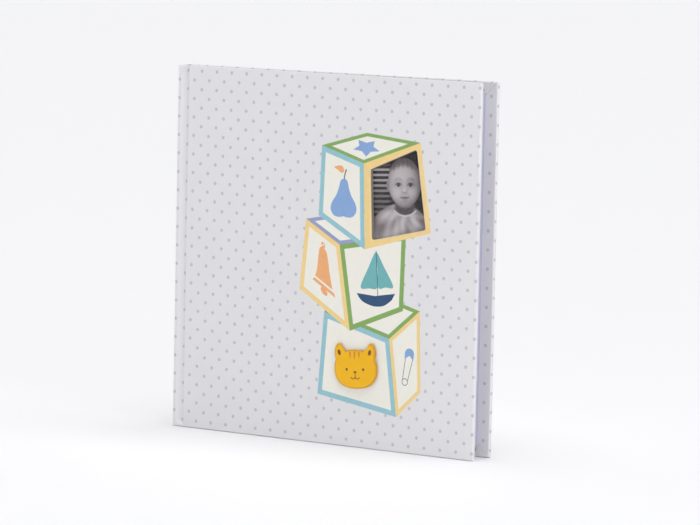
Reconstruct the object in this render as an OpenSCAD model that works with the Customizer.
// Square case-bound scrapbook album with a photo window in its front cover.
// It stands upright on the tail edges of its covers, spine to the left (-X), front cover
// facing -Y and opened by a small angle. Units are millimetres, +Z is up.
// Modules are written in book coordinates: x from the outside of the spine, y from the
// front of the leaf block towards the back, z from the tail (bottom) of the covers.

/* [Case] */
// Width of the closed case, from the spine to the fore-edge
case_w = 222; // [200:1:260]
// Height of the case
case_h = 222; // [200:1:260]
// Thickness of the greyboard in the covers
board_t = 2.4; // [1.8:0.1:3]
// Thickness of the greyboard in the spine
spine_t = 2; // [1.5:0.1:2.5]
// Thickness of the printed covering paper
paper_t = 0.25; // [0.2:0.05:0.3]
// Width of the grooved joint between the spine and each cover board
groove_w = 5.25; // [4.5:0.25:6]
// Depth that the covering paper is pressed into the groove
groove_depth = 1.5; // [1:0.1:2]
// Width of the covering paper that is turned in over the board edges
turn_in = 14; // [12:1:18]
// Angle by which the front cover stands open
open_angle = 2.4; // [1:0.1:4]

/* [Leaf block] */
// Number of leaves, the two flyleaves among them (an even number)
leaf_count = 16; // [8:2:16]
// Thickness of one leaf of card
leaf_t = 0.3; // [0.25:0.05:0.3]
// Spacing of the leaves in the closed block
leaf_pitch = 0.35; // [0.35:0.05:0.4]
// Distance from the leaves to the head and tail edges of the covers
square_head = 7; // [5:0.5:10]
// Distance from the leaves to the fore-edge of the covers
square_fore = 8.3; // [6:0.1:10]
// Share of the cover's turn that the outermost leaf follows
fan_share = 0.28; // [0.1:0.02:0.28]

/* [Endpapers] */
// Thickness of the pastedowns and endpaper hinges
pastedown_t = 0.15; // [0.1:0.05:0.2]
// Space between the front board and the closed leaf block, which holds the photo pocket
front_gap = 1; // [1:0.05:1.2]
// Space between the leaf block and the back board
back_gap = 0.45; // [0.45:0.05:0.6]

/* [Photo window] */
// Distance from the spine to the lower left corner of the window
window_x = 146.4; // [140:0.1:150]
// Height of the lower left corner of the window
window_z = 124.7; // [115:0.1:130]
// Width of the photo print
print_w = 49; // [47:1:52]
// Height of the photo print
print_h = 66; // [62:1:70]
// Thickness of the photo print
print_t = 0.24; // [0.2:0.02:0.24]
// Width of the glued rim of the pocket at the sides and foot
pocket_rim = 5; // [4:0.5:6]
// Thickness of the clear window film
film_t = 0.25; // [0.2:0.05:0.25]

/* [Cat badge] */
// Distance from the spine to the centre of the badge
badge_x = 138; // [120:1:150]
// Height of the centre of the badge
badge_z = 47; // [40:0.5:60]
// Angle that the cat's head leans to its right
badge_tilt = 4; // [0:1:10]
// Half the width of the cat's head
badge_rx = 15.4; // [14:0.2:18]
// Half the height of the cat's head, ears left out
badge_rz = 11.6; // [10:0.2:14]
// Thickness of the badge's card
badge_t = 1.2; // [0.8:0.1:1.5]
// Thickness of the foam pads under the badge
pad_t = 0.9; // [0.6:0.1:1.2]

/* [Hidden] */
LEAVES = ["front_flyleaf", "page_01", "page_02", "page_03", "page_04", "page_05", "page_06",
    "page_07", "page_08", "page_09", "page_10", "page_11", "page_12", "page_13", "page_14",
    "back_flyleaf"];

// Running clearance between sheets that slide or turn past each other
slack = 0.02;
// Offset of a cover's hinge line outside its covering paper
hinge_out = 0.1;
// Offset of the leaves' hinge lines outside the leaf block
leaf_axis_out = 0.25;
leaf_axis_x = 5;
// Thickness of the binding lining and of the glue on the back of the guards
lining_t = 0.25;
glue_t = 0.3;
guard_end = 4.9;
leaf_start = 6;

block_t = leaf_count * leaf_pitch;
half = leaf_count / 2;
board_z = paper_t;
board_h = case_h - 2 * paper_t;
spine_in = paper_t + spine_t + paper_t;
board_x = spine_in + groove_w + paper_t;
board_w = case_w - paper_t - board_x;
hinge_x = spine_in + groove_w / 2;

front_in = -front_gap;
front_out = front_in - board_t;
front_skin = front_out - paper_t;
back_in = block_t + back_gap;
back_out = back_in + board_t;
back_skin = back_out + paper_t;
front_hinge_y = front_skin - hinge_out;
back_hinge_y = back_skin + hinge_out;

leaf_z = square_head;
leaf_h = case_h - 2 * square_head;
leaf_end = case_w - square_fore;
pastedown_z = square_head;
pastedown_h = leaf_h;
pastedown_w = leaf_end - board_x;

// The window's corners, counter-clockwise from the lower left one
WINDOW = [for (p = [[0, 0], [38.5, 8.8], [31, 55.8], [-1.9, 42.1]])
    [window_x + p[0], window_z + p[1]]];
window_mid = [window_x + 17, window_z + 27.3];

// Centre of the bounding box at rest, which becomes x = 0, y = 0
reach = case_w - hinge_x;
front_corner_y = front_hinge_y - reach * sin(open_angle) + hinge_out * cos(open_angle);
centre = [case_w / 2, (front_corner_y + back_skin) / 2];

PAPER = [0.87, 0.86, 0.89];
CARD = [0.96, 0.95, 0.94];
PAGE = [0.80, 0.80, 0.90];
BOARD = [0.62, 0.58, 0.52];
LAVENDER = [0.75, 0.75, 0.87];
GLUE = [0.93, 0.89, 0.76];
YELLOW = [0.93, 0.7, 0.15];

// ---- placing ----

// Moves the children from book coordinates to the part's frame
module placed() translate([-centre[0], -centre[1], 0]) children();

// Turns the children about a vertical line; positive angles swing the fore-edge to +Y
module turned(x, y, angle)
    translate([x, y, 0]) rotate([0, 0, angle]) translate([-x, -y, 0]) children();

module on_front_cover() placed() turned(hinge_x, front_hinge_y, -open_angle) children();

// A box from its lowest corner to its highest corner
module block(low, high) translate(low) cube(high - low);

// An outline in the plane of the covers, given as [x, z], from depth y0 to depth y1
module slab(y0, y1) translate([0, y1, 0]) rotate([90, 0, 0]) linear_extrude(y1 - y0) children();

// Shifts each side of a convex counter-clockwise outline outwards by d
function side_normal(a, b) = [b[1] - a[1], a[0] - b[0]] / norm(b - a);
function grown(points, d) = [for (i = [0 : len(points) - 1]) let (
        n = len(points),
        p = points[i],
        m = side_normal(points[(i + n - 1) % n], p),
        k = side_normal(p, points[(i + 1) % n]))
    p + (m + k) * d / (1 + m * k)];

// ---- case ----

module spine_board() color(BOARD)
    block([paper_t, front_out, board_z], [paper_t + spine_t, back_out, board_z + board_h]);

// Covering paper round the spine board, turned in at the head and tail
module spine_cover_paper() color(PAPER) difference() {
    block([0, front_skin, 0], [spine_in, back_skin, case_h]);
    block([paper_t, front_out, board_z], [paper_t + spine_t, back_out, board_z + board_h]);
    block([paper_t, front_out, turn_in], [spine_in + 1, back_out, case_h - turn_in]);
}

module cover_board(y0, y1) block([board_x, y0, board_z], [board_x + board_w, y1, board_z + board_h]);

// Covering paper of one cover: the face, three turned edges, the turn-ins on the inside
// and the edge that dips into the groove. skin is the outer depth and inner the board's
// inside; dir is 1 where the inside lies towards +Y
module cover_paper(skin, inner, dir) {
    far = inner + dir * paper_t;
    groove_far = skin + dir * groove_depth;
    y0 = min(skin, far);
    y1 = max(skin, far);
    difference() {
        block([board_x - paper_t, y0, 0], [case_w, y1, case_h]);
        block([board_x, min(skin + dir * paper_t, inner), board_z],
            [board_x + board_w, max(skin + dir * paper_t, inner), board_z + board_h]);
        block([board_x, min(inner, far + dir), turn_in],
            [case_w - turn_in, max(inner, far + dir), case_h - turn_in]);
        block([board_x - 1, min(groove_far, far + dir), -1],
            [board_x, max(groove_far, far + dir), case_h + 1]);
    }
}

module front_board() color(BOARD) difference() {
    cover_board(front_out, front_in);
    slab(front_out - 1, front_in + 1) polygon(grown(WINDOW, paper_t));
}

module front_cover_paper() color(PAPER) difference() {
    union() {
        cover_paper(front_skin, front_in, 1);
        slab(front_skin, front_in) polygon(grown(WINDOW, paper_t));
    }
    slab(front_skin - 1, front_in + 1) polygon(WINDOW);
}

module back_board() color(BOARD) cover_board(back_in, back_out);

module back_cover_paper() color(PAPER) cover_paper(back_skin, back_in, -1);

// Lining sheet on the inside of a cover, stepped over the turn-ins
module pastedown(inner, dir) {
    rise = paper_t + pastedown_t;
    top = inner + dir * rise;
    low_x = board_x;
    high_x = board_x + pastedown_w;
    difference() {
        block([low_x, min(inner, top), pastedown_z],
            [high_x, max(inner, top), pastedown_z + pastedown_h]);
        // the dip in the middle, inside the turn-ins
        block([low_x - 1, min(inner + dir * pastedown_t, top + dir), turn_in + pastedown_t],
            [case_w - turn_in - pastedown_t, max(inner + dir * pastedown_t, top + dir),
             case_h - turn_in - pastedown_t]);
        // the turn-ins under the rim
        for (z = [[-1, turn_in], [case_h - turn_in, case_h + 1]])
            block([low_x - 1, min(inner - dir, inner + dir * paper_t), z[0]],
                [case_w, max(inner - dir, inner + dir * paper_t), z[1]]);
        block([case_w - turn_in, min(inner - dir, inner + dir * paper_t), -1],
            [case_w, max(inner - dir, inner + dir * paper_t), case_h + 1]);
    }
}

module front_pastedown() color(LAVENDER) difference() {
    pastedown(front_in, 1);
    slab(front_in - 1, front_in + 1) polygon(WINDOW);
}

module back_pastedown() color(LAVENDER) pastedown(back_in, -1);

// ---- joints of the case ----

// Covering paper pressed into the groove beside the spine, seen from the head as a valley
module joint_paper(skin, dir) {
    x0 = spine_in + slack;
    x1 = board_x - paper_t - slack;
    floor_y = skin + dir * groove_depth;
    run = 1.2;
    translate([0, 0, board_z]) linear_extrude(board_h) polygon([
        [x0, skin + dir * slack], [x0, skin + dir * paper_t * 2],
        [x0 + run, floor_y], [x1 - run, floor_y],
        [x1, skin + dir * paper_t * 2], [x1, skin + dir * slack],
        [x1 - run, floor_y - dir * paper_t], [x0 + run, floor_y - dir * paper_t]]);
}

module front_joint_paper() color(PAPER) joint_paper(front_skin, 1);

module back_joint_paper() color(PAPER) joint_paper(back_skin, -1);

// Fold of the endpaper between the leaf block and a pastedown
module endpaper_hinge(near_y, far_y, dir) {
    x0 = spine_in + slack;
    x1 = board_x - slack;
    t = dir * pastedown_t;
    translate([0, 0, leaf_z]) linear_extrude(leaf_h)
        polygon([[x0, near_y], [x1, far_y], [x1, far_y + t], [x0, near_y + t]]);
}

module front_endpaper_hinge() color(LAVENDER)
    endpaper_hinge(-2 * pastedown_t - leaf_axis_out, front_in - paper_t, 1);

module back_endpaper_hinge() color(LAVENDER)
    endpaper_hinge(block_t + 2 * pastedown_t, back_in - pastedown_t, 1);

// ---- leaf block ----

module spine_lining() color(CARD)
    block([spine_in, 0, turn_in / 2], [spine_in + lining_t, block_t, case_h - turn_in / 2]);

module binding_glue() color(GLUE)
    block([spine_in + lining_t, 0, leaf_z], [spine_in + lining_t + glue_t, block_t, leaf_z + leaf_h]);

function leaf_y(k) = (k + 0.5) * leaf_pitch - leaf_t / 2;

// One stub of card for each leaf, held by the glue
module page_guards() color(PAGE) for (k = [0 : leaf_count - 1])
    block([spine_in + lining_t + glue_t, leaf_y(k), leaf_z],
        [guard_end, leaf_y(k) + leaf_t, leaf_z + leaf_h]);

// Share of the front cover's turn that leaf k of the front half follows
function share(k) = fan_share * (half - k) / half;

module leaf(k) {
    angle = k < half ? -open_angle * share(k) : 0;
    tint = k == 0 || k == leaf_count - 1 ? LAVENDER : PAGE;
    color(tint) turned(leaf_axis_x, -leaf_axis_out, angle)
        block([leaf_start, leaf_y(k), leaf_z], [leaf_end, leaf_y(k) + leaf_t, leaf_z + leaf_h]);
}

// ---- photo window ----

film_y = front_in + pastedown_t;
print_y = film_y + film_t + slack;
pocket_y = print_y + print_t + slack;
pocket_t = 0.26;
print_x = window_mid[0] - print_w / 2;
print_z = window_mid[1] - print_h / 2;
// Lowest and highest corner of the pocket in the plane of the cover
pocket_low = [print_x - slack - pocket_rim, print_z - slack - pocket_rim];
pocket_high = [print_x + print_w + slack + pocket_rim, print_z + print_h - 3];

module window_film() color([0.9, 0.95, 1, 0.35])
    block([pocket_low[0], film_y, pocket_low[1]],
        [pocket_high[0], film_y + film_t, print_z + print_h + 1]);

// Card panel glued at its sides and foot, open at the head with a thumb notch
module photo_pocket() color(CARD) {
    top = pocket_high[1];
    notch_r = 11;
    difference() {
        block([pocket_low[0], film_y + film_t, pocket_low[1]],
            [pocket_high[0], pocket_y + pocket_t, top]);
        block([print_x - slack, film_y + film_t - 1, print_z - slack],
            [print_x + print_w + slack, pocket_y, top + 1]);
        translate([window_mid[0], pocket_y - 1, top]) rotate([-90, 0, 0])
            cylinder(h = pocket_t + 2, r = notch_r, $fn = 64);
    }
}

module photo_print() color([0.45, 0.43, 0.43])
    block([print_x, print_y, print_z], [print_x + print_w, print_y + print_t, print_z + print_h]);

// ---- cat badge ----

// Rounded head: a superellipse a little flatter than a circle
function head_point(a) = [
    badge_rx * sign(cos(a)) * pow(abs(cos(a)), 0.86),
    badge_rz * sign(sin(a)) * pow(abs(sin(a)), 0.86)];

// A round ear on one side, s = -1 or 1
module ear(s) {
    tip_r = badge_rx * 0.22;
    hull() {
        translate([s * badge_rx * 0.76, badge_rz * 1.08]) circle(r = tip_r, $fn = 32);
        translate([s * badge_rx * 0.78, badge_rz * 0.45]) circle(r = tip_r * 0.7, $fn = 24);
        translate([s * badge_rx * 0.45, badge_rz * 0.8]) circle(r = tip_r * 0.4, $fn = 24);
    }
}

module cat_outline() rotate(badge_tilt) {
    polygon([for (a = [0 : 5 : 355]) head_point(a)]);
    ear(-1);
    ear(1);
}

module cat_badge() color(YELLOW) translate([badge_x, 0, badge_z])
    slab(front_skin - pad_t - badge_t, front_skin - pad_t) cat_outline();

module badge_pads() color([0.95, 0.95, 0.95]) for (s = [-1, 1])
    translate([badge_x + s * badge_rx * 0.45, front_skin, badge_z]) rotate([90, 0, 0])
        cylinder(h = pad_t, r = 4, $fn = 48);

// ---- output ----

placed() spine_board();
placed() spine_cover_paper();
placed() spine_lining();
placed() binding_glue();
placed() page_guards();
placed() front_joint_paper();
placed() back_joint_paper();
placed() front_endpaper_hinge();
placed() back_endpaper_hinge();
on_front_cover() front_board();
on_front_cover() front_cover_paper();
on_front_cover() front_pastedown();
on_front_cover() window_film();
on_front_cover() photo_pocket();
on_front_cover() photo_print();
on_front_cover() cat_badge();
on_front_cover() badge_pads();
placed() back_board();
placed() back_cover_paper();
placed() back_pastedown();
for (k = [0 : leaf_count - 1])
    placed() leaf(k);
